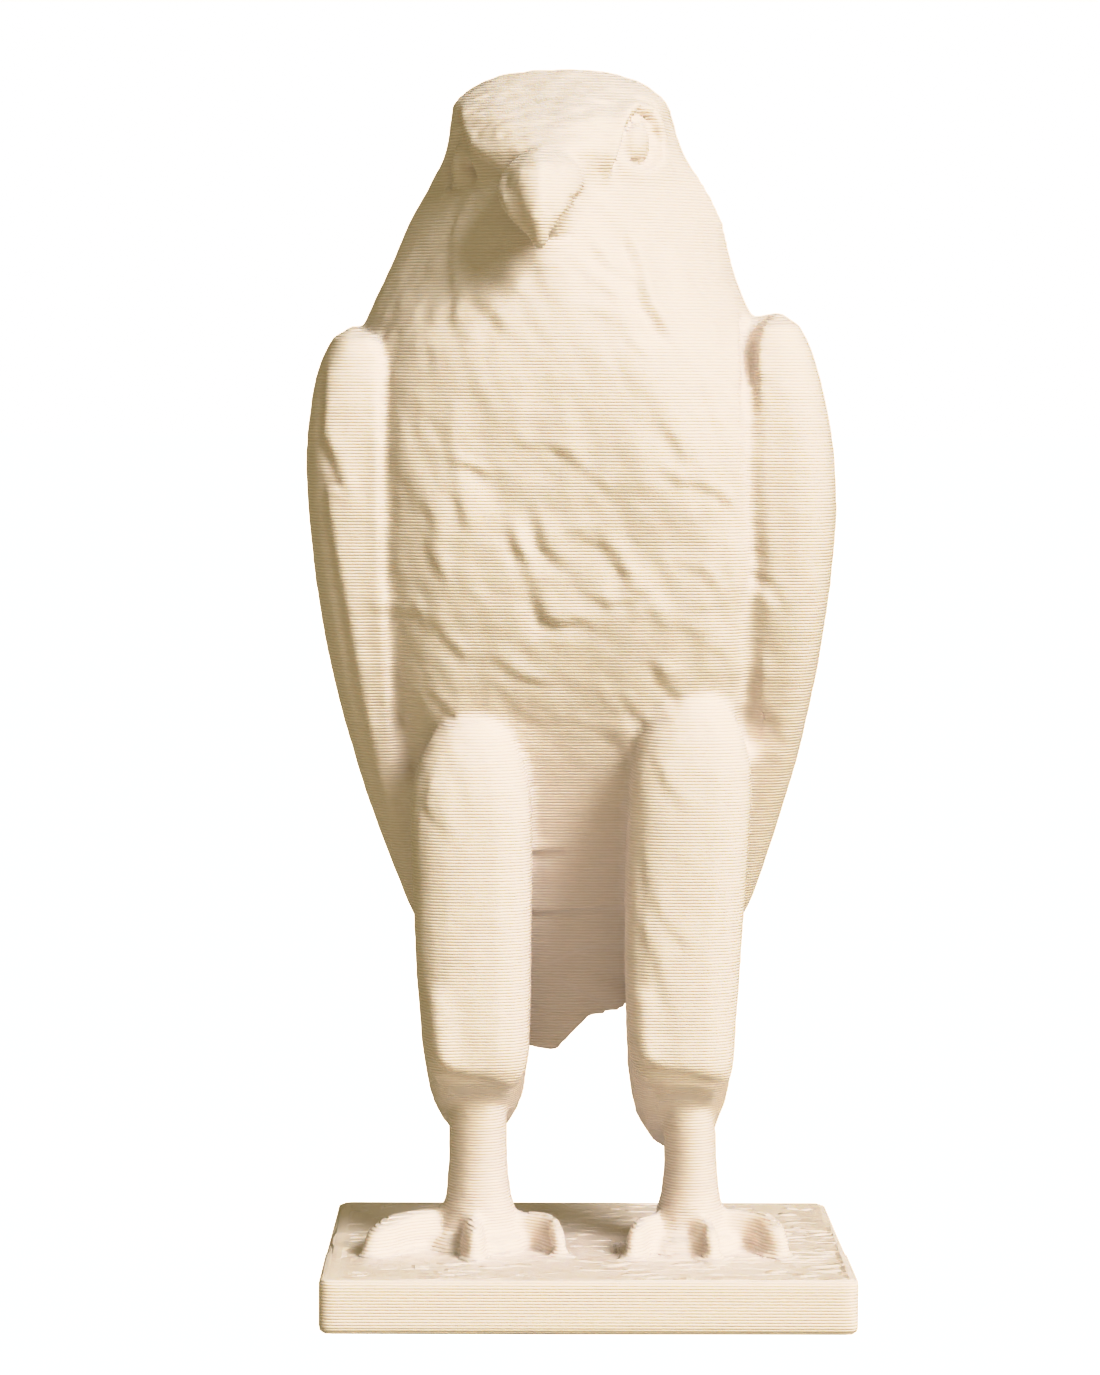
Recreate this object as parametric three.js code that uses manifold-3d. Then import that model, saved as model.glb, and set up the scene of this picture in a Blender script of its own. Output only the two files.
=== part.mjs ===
import * as THREE from 'three';
import { mergeVertices } from 'three/addons/utils/BufferGeometryUtils.js';
import Module from 'manifold-3d';

// A standing falcon on a thin slab: a desktop-printed plastic copy of a worn Egyptian carving.
// Figure and slab were printed together, so they are one piece.
// Millimetres. The origin is the middle of the slab's underside, the bird looks along -Y and +Z is up.

// Driving dimensions
const figureHeight = 78.4;
const slabThickness = 3.6;
const slabDepth = 27;
const slabFrontWidth = 35;
const slabBackWidth = 34.2;
const slabCornerRadius = 0.6;
const slabEdgeRadius = 0.22;
const footSink = 0.5;
const headTurnDegrees = 10.5;

// How finely the skins are drawn
const trunkRings = 31;
const crownRings = 8;
const trunkSides = 42;
const wingRings = 22;
const thighRings = 15;
const crownLastAngle = 84;
const limbSides = 20;
const shankRings = 8;
const shankSides = 16;
const toeRings = 9;
const toeSides = 8;
const wingQuarterSteps = 8;
const padSides = 12;
const padRings = 6;
const eyeSides = 14;
const eyeRings = 10;
const slabCornerSteps = 5;
const slabEdgeSteps = 3;

// The bird keeps its proportions, so every form below is given in hundredths of its height.
const share = figureHeight / 100;
const heightOf = (hundredths) => slabThickness + hundredths * share;

const wasm = await Module();
wasm.setup();

// Small helpers

function signedPower(value, power) {
  return Math.sign(value) * Math.abs(value) ** power;
}

function smoothStep(from, to, value) {
  const t = THREE.MathUtils.clamp((value - from) / (to - from), 0, 1);
  return t * t * (3 - 2 * t);
}

// Evenly spaced steps drawn closer together at both ends, as far as the crowding from 0 to 1 says.
function crowdedEnds(t, crowding) {
  return THREE.MathUtils.lerp(t, 0.5 - 0.5 * Math.cos(Math.PI * t), crowding);
}

// How wide a rounded end still is: 1 where the rounding starts, all but closed where it ends.
const narrowestEnd = 0.002;
function roundedEnd(nearEnd, roundness) {
  return Math.max(1 - nearEnd ** roundness, narrowestEnd) ** (1 / roundness);
}

// A smooth line through a few [place, value] points, level beyond its ends.
function lineThrough(points) {
  const slopes = points.map((point, i) => {
    const before = points[Math.max(i - 1, 0)];
    const after = points[Math.min(i + 1, points.length - 1)];
    return (after[1] - before[1]) / (after[0] - before[0]);
  });
  return (place) => {
    if (place <= points[0][0]) return points[0][1];
    if (place >= points[points.length - 1][0]) return points[points.length - 1][1];
    const i = points.findIndex((point) => point[0] > place) - 1;
    const [start, end] = [points[i], points[i + 1]];
    const gap = end[0] - start[0];
    const t = (place - start[0]) / gap;
    const t2 = t * t;
    const t3 = t2 * t;
    return (2 * t3 - 3 * t2 + 1) * start[1] + (t3 - 2 * t2 + t) * gap * slopes[i]
      + (3 * t2 - 2 * t3) * end[1] + (t3 - t2) * gap * slopes[i + 1];
  };
}

// A closed skin over rings of points that run anticlockwise seen from the last ring's side.
function loft(rings) {
  const sides = rings[0].length;
  const positions = rings.flatMap((ring) => ring.flatMap((point) => [point.x, point.y, point.z]));
  const triangles = [];
  for (let row = 0; row < rings.length - 1; row += 1) {
    for (let side = 0; side < sides; side += 1) {
      const next = (side + 1) % sides;
      const a = row * sides + side;
      const b = row * sides + next;
      const c = (row + 1) * sides + next;
      const d = (row + 1) * sides + side;
      triangles.push(a, b, c, a, c, d);
    }
  }
  const middleOf = (ring) => ring
    .reduce((sum, point) => sum.add(point), new THREE.Vector3())
    .divideScalar(sides);
  const first = middleOf(rings[0]);
  const last = middleOf(rings[rings.length - 1]);
  const firstIndex = positions.length / 3;
  positions.push(first.x, first.y, first.z, last.x, last.y, last.z);
  const lastRow = (rings.length - 1) * sides;
  for (let side = 0; side < sides; side += 1) {
    const next = (side + 1) % sides;
    triangles.push(firstIndex, next, side);
    triangles.push(firstIndex + 1, lastRow + side, lastRow + next);
  }
  const geometry = new THREE.BufferGeometry();
  geometry.setAttribute('position', new THREE.Float32BufferAttribute(positions, 3));
  geometry.setIndex(triangles);
  return geometry;
}

// An oval bar along a smooth spine. Its half widths and half heights run along it from 0 to 1.
function sweep({ spine, sideways, halfWidths, halfHeights, steps, sides, roundness = 2 }) {
  const path = new THREE.CatmullRomCurve3(spine, false, 'centripetal');
  const wide = lineThrough(halfWidths);
  const high = lineThrough(halfHeights);
  const rings = [];
  for (let i = 0; i <= steps; i += 1) {
    const t = i / steps;
    const centre = path.getPoint(t);
    const over = new THREE.Vector3().crossVectors(path.getTangent(t), sideways).normalize();
    const ring = [];
    for (let side = 0; side < sides; side += 1) {
      const angle = (side / sides) * 2 * Math.PI;
      ring.push(centre.clone()
        .addScaledVector(sideways, share * wide(t) * signedPower(Math.cos(angle), 2 / roundness))
        .addScaledVector(over, share * high(t) * signedPower(Math.sin(angle), 2 / roundness)));
    }
    rings.push(ring);
  }
  return solidOf(loft(rings));
}

function solidOf(geometry) {
  const bare = geometry.clone();
  bare.deleteAttribute('normal');
  bare.deleteAttribute('uv');
  const merged = mergeVertices(bare, 1e-4);
  return new wasm.Manifold(new wasm.Mesh({
    numProp: 3,
    vertProperties: new Float32Array(merged.attributes.position.array),
    triVerts: new Uint32Array(merged.index.array),
  }));
}

function geometryOf(solid) {
  const mesh = solid.getMesh();
  const geometry = new THREE.BufferGeometry();
  geometry.setAttribute('position', new THREE.Float32BufferAttribute(mesh.vertProperties, 3));
  geometry.setIndex(new THREE.Uint32BufferAttribute(mesh.triVerts, 1));
  geometry.computeVertexNormals();
  return geometry;
}

// A level ring that is rounder or squarer, with its own reach to the front and to the back.
function levelRing({ height, middle, halfWidth, front, back, widest, squareness, sides }) {
  const ring = [];
  for (let side = 0; side < sides; side += 1) {
    const angle = (side / sides) * 2 * Math.PI;
    const across = signedPower(Math.cos(angle), 2 / squareness);
    const along = signedPower(Math.sin(angle), 2 / squareness);
    const reach = along < 0 ? widest - front : back - widest;
    ring.push(new THREE.Vector3(
      share * (middle + halfWidth * across),
      share * (widest + reach * along),
      heightOf(height),
    ));
  }
  return ring;
}

// Trunk: tail, belly, breast, neck and head in one run, from the broken tail to the crown

const tailEnd = 12;
const crown = 100;
const neckStart = 79;
const neckEnd = 90;
const domeStart = 95.5;
const domeSquareness = 2.5;
const trunkWidestAt = 0.56;
const middleLine = lineThrough([
  [12, -1], [36, -1], [53, -1.3], [67, -1.7], [80, -2.6], [91, -2.3], [95, -2.7], [98, -3.1], [100, -2.9],
]);
const trunkHalfWidth = lineThrough([
  [12, 7.5], [25, 9.8], [36, 14.3], [45, 17], [57, 17.6], [72, 17.4], [79, 16.4],
  [83, 14.7], [88, 13.2], [91, 11.4], [93.5, 9.8], [96, 9.2], [100, 9.2],
]);
const frontLine = lineThrough([
  [12, 9], [20, 5.2], [30, 0.4], [37, -3.9], [44, -8.2], [50, -11.3], [57, -13.7],
  [65, -15.2], [73, -15.9], [79, -15.4], [85, -14], [91, -13.3], [93.4, -12.5], [95, -10.4],
  [97.7, -6.2], [99.1, -3.9], [100, -3.2],
]);
const backLine = lineThrough([
  [12, 18.4], [24, 20.3], [40, 21.2], [55, 20.2], [68, 17.2], [80, 12.8], [88, 10.4], [100, 9],
]);
const crownApex = -1.5;
const trunkSquareness = lineThrough([
  [30, 2.8], [45, 3.6], [57, 4.4], [68, 4.2], [74, 3.2], [79, 2.2], [84, 1.55], [88, 1.3], [90.5, 1.3],
  [92, 1.5], [94, 2.2], [96, 2.7], [98, 2.9],
]);

// Hollows and lumps worn into the breast: place across, height, reach and depth
const breastWear = [
  { across: -6, height: 64.5, reach: 3.2, depth: 0.55 },
  { across: -1.5, height: 61, reach: 2.6, depth: 0.5 },
  { across: 6, height: 59.5, reach: 3, depth: 0.5 },
  { across: 1, height: 54.5, reach: 2.6, depth: -0.6 },
  { across: 5.5, height: 66, reach: 3, depth: -0.45 },
  { across: -13, height: 47.5, reach: 2.8, depth: -0.9 },
  { across: -11.5, height: 70, reach: 3.4, depth: 0.4 },
];

// The wear fades out on the flanks, between these two places along the bird.
const wearFullFrom = -6;
const wearNoneFrom = 2;

function wearAt(across, height) {
  return breastWear.reduce((sum, mark) => {
    const away = ((across - mark.across) ** 2 + (height - mark.height) ** 2) / mark.reach ** 2;
    return sum + mark.depth * Math.exp(-away);
  }, 0);
}

function turnPoint(point, middle, widest, angle) {
  const axis = new THREE.Vector3(share * middle, share * widest, point.z);
  return point.sub(axis).applyAxisAngle(new THREE.Vector3(0, 0, 1), angle).add(axis);
}

function headTurnAt(height) {
  return -THREE.MathUtils.degToRad(headTurnDegrees) * smoothStep(neckStart, neckEnd, height);
}

function trunkRing(height, closing) {
  const middle = middleLine(height);
  const towardsApex = (reach) => crownApex + (reach - crownApex) * closing;
  const front = frontLine(height);
  const back = backLine(height);
  const ring = levelRing({
    height,
    middle,
    halfWidth: trunkHalfWidth(height) * closing,
    front: towardsApex(front),
    back: towardsApex(back),
    widest: towardsApex(THREE.MathUtils.lerp(front, back, trunkWidestAt)),
    squareness: trunkSquareness(height),
    sides: trunkSides,
  });
  for (const point of ring) {
    const frontness = smoothStep(wearNoneFrom, wearFullFrom, point.y / share);
    point.y += share * frontness * wearAt(point.x / share, height);
    turnPoint(point, middle, crownApex, headTurnAt(height));
  }
  return ring;
}

function trunk() {
  const rings = [];
  for (let i = 0; i <= trunkRings; i += 1) {
    rings.push(trunkRing(THREE.MathUtils.lerp(tailEnd, domeStart, i / trunkRings), 1));
  }
  for (let i = 1; i <= crownRings; i += 1) {
    const angle = (i / crownRings) * THREE.MathUtils.degToRad(crownLastAngle);
    const rise = Math.sin(angle) ** (2 / domeSquareness);
    const closing = Math.cos(angle) ** (2 / domeSquareness);
    rings.push(trunkRing(THREE.MathUtils.lerp(domeStart, crown, rise), closing));
  }
  return solidOf(loft(rings));
}

// The tail's broken lower edge: wedges of air that bite into it from below
const tailBreak = [
  { across: -13, height: 14.6 },
  { across: -6.5, height: 15.9 },
  { across: -2.6, height: 15.3 },
  { across: 0.6, height: 18.9 },
  { across: 2.4, height: 20.1 },
  { across: 5, height: 21.5 },
  { across: 13, height: 22.6 },
];

const tailCutFrom = 6;
const tailCutTo = 26;

function brokenTailCut() {
  const outline = new THREE.Shape();
  outline.moveTo(tailBreak[0].across * share, heightOf(0));
  for (const corner of tailBreak) outline.lineTo(corner.across * share, heightOf(corner.height));
  outline.lineTo(tailBreak[tailBreak.length - 1].across * share, heightOf(0));
  const depth = (tailCutTo - tailCutFrom) * share;
  const cut = new THREE.ExtrudeGeometry(outline, { depth, bevelEnabled: false });
  cut.rotateX(Math.PI / 2);
  cut.translate(0, tailCutTo * share, 0);
  return solidOf(cut);
}

// Folded wings: thick slabs whose front band stands just proud of the breast

const wingMiddle = lineThrough([
  [18, -0.5], [30, -0.6], [38, -0.9], [53, -1.3], [63, -1.5], [70, -1.8], [79, -2],
]);
const wingHalfWidth = lineThrough([
  [18, 8], [22, 11.5], [27, 14.4], [33, 16.5], [40, 18.5], [46, 19.9], [53, 21.15], [60, 22],
  [66, 22.2], [71, 21.75], [75, 20.9], [79, 20],
]);
const wingInnerEdge = lineThrough([[18, 3], [30, 10.8], [38, 13.9], [46, 15.3], [60, 15.4], [79, 15.6]]);
const wingFront = lineThrough([
  [18, 11], [24, 7], [31, 2], [38, -2.6], [46, -7.2], [54, -10.5], [63, -12.4], [72, -12.4], [79, -10],
]);
const wingBack = lineThrough([[18, 20.2], [30, 22.4], [45, 22.8], [58, 21.6], [70, 18.6], [79, 14.6]]);
const wingSeam = lineThrough([[18, 0.3], [36, 0.3], [50, 2.6], [64, 7], [79, 11.5]]);
const wingSquareness = 2.7;
const wingFrontSquareness = 4.2;
const leftWingTop = 78.4;
const rightWingTop = 79.6;
const wingBottom = 19;
const wingTopRounding = 5;
const wingBottomRounding = 7;
const wingEndRoundness = 2.4;
const wingFrontEndRoundness = 6;
const wingRingCrowding = 0.7;
const wingWidestAt = 0.32;
const wingCoreAt = 0.3;

// The hidden side of a wing lies inside the trunk: three points lead from the back seam to the front.
const seamPoint = { across: 0.9, along: 0.4 };
const coreSidePoint = 0.55;
const innerEdgePoint = { across: 0.93, along: 0.7 };

function wingRing(height, side, top) {
  const nearTop = Math.max((height - (top - wingTopRounding)) / wingTopRounding, 0);
  const nearBottom = Math.max((wingBottom + wingBottomRounding - height) / wingBottomRounding, 0);
  const nearEnd = Math.max(nearTop, nearBottom);
  const closing = roundedEnd(nearEnd, wingEndRoundness);
  const frontClosing = roundedEnd(nearEnd, wingFrontEndRoundness);
  const middle = wingMiddle(height);
  const inner = wingInnerEdge(height);
  const outer = wingHalfWidth(height);
  const front = wingFront(height);
  const back = wingBack(height);
  const widest = THREE.MathUtils.lerp(front, back, wingWidestAt);
  const seam = wingSeam(height);
  const seamAngle = Math.acos((seam / outer) ** (wingSquareness / 2));
  const outline = [];
  for (let i = 0; i <= wingQuarterSteps; i += 1) {
    const angle = (i / wingQuarterSteps) * (Math.PI / 2);
    outline.push([
      inner + (outer - inner) * signedPower(Math.sin(angle), 2 / wingFrontSquareness),
      widest + (front - widest) * signedPower(Math.cos(angle), 2 / wingFrontSquareness),
    ]);
  }
  for (let i = 1; i <= wingQuarterSteps; i += 1) {
    const angle = (i / wingQuarterSteps) * seamAngle;
    outline.push([
      outer * signedPower(Math.cos(angle), 2 / wingSquareness),
      widest + (back - widest) * signedPower(Math.sin(angle), 2 / wingSquareness),
    ]);
  }
  outline.push([seam * seamPoint.across, THREE.MathUtils.lerp(widest, back, seamPoint.along)]);
  outline.push([Math.max(inner * coreSidePoint, seam), widest]);
  outline.push([
    inner * innerEdgePoint.across,
    THREE.MathUtils.lerp(front, widest, innerEdgePoint.along),
  ]);
  const core = [(inner + outer) / 2, THREE.MathUtils.lerp(front, back, wingCoreAt)];
  const points = outline.map(([across, along]) => new THREE.Vector3(
    share * (middle + side * (core[0] + (across - core[0]) * closing)),
    share * (core[1] + (along - core[1]) * (along < core[1] ? frontClosing : closing)),
    heightOf(height),
  ));
  return side > 0 ? points : points.reverse();
}

function wing(side, top) {
  const rings = [];
  for (let i = 0; i <= wingRings; i += 1) {
    const eased = crowdedEnds(i / wingRings, wingRingCrowding);
    rings.push(wingRing(THREE.MathUtils.lerp(wingBottom, top, eased), side, top));
  }
  return solidOf(loft(rings));
}

// Legs: feathered trousers that end in an overhanging hem, thin shanks and long toes

const trouserFront = lineThrough([[12, -11.2], [20, -11.6], [30, -12], [40, -12.2], [48, -11.8]]);
const trouserBack = lineThrough([[12, 6], [20, 8], [30, 10], [48, 12]]);
const trouserHalfWidth = lineThrough([[10, 3.5], [14, 4.1], [18, 4.5], [24, 4.8], [33, 5.05], [48, 5.1]]);
const trouserSquareness = 2.8;
const hemRounding = 3.4;
const hemFrontRounding = 1.5;
const hemNarrowing = 0.8;
const hemTiltReach = 9;
const capRounding = 8.5;
const capDepth = 3.4;
const trouserRingCrowding = 0.75;

function trouserRing({ height, middle, closing, frontClosing, squareness, tilt }) {
  const front = trouserFront(height);
  const core = front + capDepth;
  const ring = levelRing({
    height,
    middle,
    halfWidth: trouserHalfWidth(height) * closing,
    front: core + (front - core) * frontClosing,
    back: core + (trouserBack(height) - core) * closing,
    widest: core,
    squareness,
    sides: limbSides,
  });
  for (const point of ring) {
    const frontness = smoothStep(core, (core + front) / 2, point.y / share);
    const widening = THREE.MathUtils.lerp(1, frontClosing / closing, frontness);
    point.x = share * (middle + (point.x / share - middle) * widening);
    point.z -= tilt * (point.y - share * core);
  }
  return ring;
}

function trouser({ middle, top, hemHeight, hemSlope }) {
  const rings = [];
  for (let i = 0; i <= thighRings; i += 1) {
    const eased = crowdedEnds(i / thighRings, trouserRingCrowding);
    const height = THREE.MathUtils.lerp(hemHeight, top, eased);
    const nearHem = Math.max(1 - (height - hemHeight) / hemRounding, 0);
    const nearHemFront = Math.max(1 - (height - hemHeight) / hemFrontRounding, 0);
    const nearCap = Math.max(1 - (top - height) / capRounding, 0);
    const capClosing = roundedEnd(nearCap, 2);
    const closing = capClosing * Math.sqrt(1 - (hemNarrowing * nearHem) ** 2);
    const frontClosing = capClosing * Math.sqrt(1 - (hemNarrowing * nearHemFront) ** 2);
    const squareness = THREE.MathUtils.lerp(trouserSquareness, 2, nearCap);
    const tilt = hemSlope * (1 - smoothStep(hemHeight, hemHeight + hemTiltReach, height));
    rings.push(trouserRing({ height, middle: middle(height), closing, frontClosing, squareness, tilt }));
  }
  return solidOf(loft(rings));
}

const ankleFlare = 0.42;
const ankleReachFlare = 0.2;
const ankleBottom = 0.5;
const ankleTop = 6.5;
const shankTop = 20;
const shankReach = 2.9;
const shankSquareness = 2.2;
const shankMiddle = lineThrough([[0, -1.2], [7, -2.8], [20, -6]]);

function shank({ middle, thickness }) {
  const rings = [];
  for (let i = 0; i <= shankRings; i += 1) {
    const height = THREE.MathUtils.lerp(-footSink / share, shankTop, i / shankRings);
    const spread = 1 - smoothStep(ankleBottom, ankleTop, height);
    const reach = shankReach * (1 + ankleReachFlare * spread);
    const centre = shankMiddle(height);
    rings.push(levelRing({
      height,
      middle: middle(height),
      halfWidth: thickness * (1 + ankleFlare * spread),
      front: centre - reach,
      back: centre + reach,
      widest: centre,
      squareness: shankSquareness,
      sides: shankSides,
    }));
  }
  return solidOf(loft(rings));
}

// A toe runs out from the ankle, over its knuckle and down to the claw. It stands on the slab like a
// low wall with a rounded top, because the carver left the stone under its arch.
const clawBend = { along: 0.66, down: 0.27 };
const clawThinning = 0.5;

function toe({ root, knuckle, tip, thickness }) {
  const bend = [
    THREE.MathUtils.lerp(knuckle[0], tip[0], clawBend.along),
    THREE.MathUtils.lerp(knuckle[1], tip[1], clawBend.along),
    THREE.MathUtils.lerp(knuckle[2], tip[2], clawBend.down),
  ];
  const line = [root, knuckle, bend, tip];
  const sink = footSink / share;
  return sweep({
    spine: line.map(([x, y, top]) => new THREE.Vector3(x * share, y * share, heightOf((top - sink) / 2))),
    sideways: new THREE.Vector3(knuckle[1] - tip[1], tip[0] - knuckle[0], 0).normalize(),
    halfWidths: [[0, thickness], [0.55, thickness], [1, thickness * clawThinning]],
    halfHeights: line.map(([, , top], i) => [i / (line.length - 1), (top + sink) / 2]),
    steps: toeRings,
    sides: toeSides,
  });
}

// The low fleshy pad that fills the space between the toes
const footPad = { along: -2.2, halfWidth: 4.6, halfLength: 4.6, rise: 2 };

function pad(across) {
  const mound = new THREE.SphereGeometry(share, padSides, padRings);
  mound.scale(footPad.halfWidth, footPad.halfLength, footPad.rise);
  mound.translate(across * share, footPad.along * share, heightOf(0));
  return solidOf(mound);
}

// Toes in hundredths: across, along and the height of the top, at the root, the knuckle and the tip
const leftLeg = {
  middle: lineThrough([[0, -9.2], [13, -9.3], [24, -9.6], [48, -10.1]]),
  top: 46.2,
  hemHeight: 14,
  hemSlope: 0.56,
  shankThickness: 2.5,
  toes: [
    { root: [-10, -1.6, 3.5], knuckle: [-15.8, -3.6, 3.1], tip: [-18.5, -7.4, 0.7], thickness: 1.45 },
    { root: [-9.2, -1.6, 3.3], knuckle: [-9.6, -5.8, 3], tip: [-9.5, -8.6, 0.5], thickness: 1 },
    { root: [-8, -1.6, 2.9], knuckle: [-3.3, -3.6, 3.1], tip: [-2.2, -7.2, 0.5], thickness: 0.85 },
    { root: [-9, 1, 3], knuckle: [-8.6, 5, 2.7], tip: [-8.2, 8.4, 0.6], thickness: 1.2 },
  ],
};
const rightLeg = {
  middle: lineThrough([[0, 8.9], [10, 8.8], [17, 7.9], [28, 8], [38, 8.4], [48, 8.7]]),
  top: 48.4,
  hemHeight: 13.7,
  hemSlope: 0.64,
  shankThickness: 2.25,
  toes: [
    { root: [8.2, -1.6, 3.1], knuckle: [4.8, -4.6, 3], tip: [3.8, -7.8, 0.5], thickness: 0.95 },
    { root: [9, -1.6, 3.3], knuckle: [10, -5.4, 3.1], tip: [10.6, -8.4, 0.5], thickness: 1 },
    { root: [10, -1.6, 3.3], knuckle: [14.9, -3.4, 3.3], tip: [16.6, -7.4, 0.6], thickness: 1.2 },
    { root: [9, 1, 3], knuckle: [9, 5, 2.7], tip: [9, 8.4, 0.6], thickness: 1.2 },
  ],
};

function leg(shape) {
  const parts = [
    trouser(shape),
    shank({ middle: shape.middle, thickness: shape.shankThickness }),
    pad(shape.middle(0)),
    ...shape.toes.map(toe),
  ];
  return parts.reduce((whole, part) => whole.add(part));
}

// Face: hooked beak, brows and eyes, placed on the turned head

function onHead(across, forward, height) {
  const middle = middleLine(height);
  const point = new THREE.Vector3(
    share * (middle + across),
    share * (crownApex - forward),
    heightOf(height),
  );
  return turnPoint(point, middle, crownApex, headTurnAt(height));
}

const faceSideways = new THREE.Vector3(1, 0, 0)
  .applyAxisAngle(new THREE.Vector3(0, 0, 1), -THREE.MathUtils.degToRad(headTurnDegrees));

function beak() {
  return sweep({
    spine: [
      onHead(0.4, 7.5, 90.6),
      onHead(0.35, 12.2, 90.2),
      onHead(0.25, 15.4, 88.9),
      onHead(0, 17, 86.8),
      onHead(-0.3, 17, 84.6),
    ],
    sideways: faceSideways,
    halfWidths: [[0, 3.1], [0.35, 3.5], [0.58, 2.9], [0.8, 1.5], [1, 0.25]],
    halfHeights: [[0, 2.7], [0.35, 2.8], [0.6, 2.2], [0.85, 1.2], [1, 0.25]],
    roundness: 1.6,
    steps: 12,
    sides: 16,
  });
}

function lowerBeak() {
  return sweep({
    spine: [onHead(0, 8, 88.2), onHead(0, 12, 87.6), onHead(0, 14.6, 86.4)],
    sideways: faceSideways,
    halfWidths: [[0, 2.6], [0.6, 2.4], [1, 0.8]],
    halfHeights: [[0, 1.6], [0.6, 1.4], [1, 0.5]],
    steps: 6,
    sides: 12,
  });
}

// An egg set into the side of the face, its flat side out. The left eye is carved lower and deeper.
const leftEyeDegrees = 61;
const rightEyeDegrees = 57.5;
const leftEyeDrop = 2;
const leftEyeSunk = 0.04;
const eyeTurnedBack = 8;

function faceEgg({ side, level, halfLength, halfHeight, halfDepth, proud }) {
  const degrees = side < 0 ? leftEyeDegrees : rightEyeDegrees;
  const height = side < 0 ? level - leftEyeDrop : level;
  const outward = side < 0 ? proud - leftEyeSunk : proud;
  const angle = THREE.MathUtils.degToRad(degrees);
  const across = side * trunkHalfWidth(height) * Math.sin(angle);
  const forward = (crownApex - frontLine(height)) * Math.cos(angle);
  const place = onHead(across * outward, forward * outward, height);
  const egg = new THREE.SphereGeometry(share, eyeSides, eyeRings);
  egg.scale(halfLength, halfDepth, halfHeight);
  egg.rotateZ(THREE.MathUtils.degToRad(side * (degrees + eyeTurnedBack) - headTurnDegrees));
  egg.translate(place.x, place.y, place.z);
  return solidOf(egg);
}

const socket = { level: 94.2, halfLength: 3.1, halfHeight: 3, halfDepth: 1.4, proud: 0.98 };
const eye = { level: 93.7, halfLength: 1.9, halfHeight: 2, halfDepth: 1, proud: 0.86 };

// Slab: a thin plate, a little narrower at the back, with rounded corners and softened edges

function slab() {
  const backY = slabDepth / 2;
  const corners = [
    [-slabFrontWidth / 2, -backY],
    [slabFrontWidth / 2, -backY],
    [slabBackWidth / 2, backY],
    [-slabBackWidth / 2, backY],
  ].map(([x, y]) => new THREE.Vector2(x, y));
  const outline = new THREE.Shape();
  corners.forEach((corner, i) => {
    const before = corners[(i + 3) % 4];
    const after = corners[(i + 1) % 4];
    const inward = new THREE.Vector2(-Math.sign(corner.x), -Math.sign(corner.y));
    const place = corner.clone().addScaledVector(inward, slabEdgeRadius);
    const from = place.clone().addScaledVector(before.clone().sub(corner).normalize(), slabCornerRadius);
    const to = place.clone().addScaledVector(after.clone().sub(corner).normalize(), slabCornerRadius);
    if (i === 0) outline.moveTo(from.x, from.y);
    else outline.lineTo(from.x, from.y);
    outline.quadraticCurveTo(place.x, place.y, to.x, to.y);
  });
  const plate = new THREE.ExtrudeGeometry(outline, {
    depth: slabThickness - 2 * slabEdgeRadius,
    curveSegments: slabCornerSteps,
    bevelEnabled: true,
    bevelThickness: slabEdgeRadius,
    bevelSize: slabEdgeRadius,
    bevelSegments: slabEdgeSteps,
  });
  plate.translate(0, 0, slabEdgeRadius);
  return solidOf(plate);
}

// The finished figure

function falconOnSlab() {
  const sides = [-1, 1];
  const sockets = sides.map((side) => faceEgg({ side, ...socket }));
  const bird = sockets.reduce((whole, hollow) => whole.subtract(hollow), trunk());
  const parts = [
    ...sides.map((side) => faceEgg({ side, ...eye })),
    wing(-1, leftWingTop),
    wing(1, rightWingTop),
    beak(),
    lowerBeak(),
  ];
  const body = parts.reduce((whole, part) => whole.add(part), bird).subtract(brokenTailCut());
  return [slab(), leg(leftLeg), leg(rightLeg)].reduce((whole, part) => whole.add(part), body);
}

const creamPlastic = new THREE.MeshStandardMaterial({ color: 0xf1e6d3, roughness: 0.62, metalness: 0 });
const falconFigure = new THREE.Mesh(geometryOf(falconOnSlab()), creamPlastic);
falconFigure.name = 'falcon_figure';

const figure = new THREE.Group();
figure.add(falconFigure);

export default figure;
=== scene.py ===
# %% [markdown]
# A falcon figure from a desktop printer
#
# The object is a small cream figure of a standing falcon on a thin slab. It is a desktop-printed
# plastic copy of a worn old carving, so there are two layers of detail: the carving's own folds,
# pits and chips, and over all of it the printer's fine level lines. The solid that comes with the
# frame has the true outline and the main forms. This lesson takes a copy of it, gives the copy a
# fine even skin, works the wear into that skin, and then gives it the printed plastic finish.
# Left and right are meant as the photo shows them.

# %% Load the frame
import math

import bmesh
import bpy
import numpy as np
from mathutils import Matrix, Vector, noise
from mathutils.bvhtree import BVHTree


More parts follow.
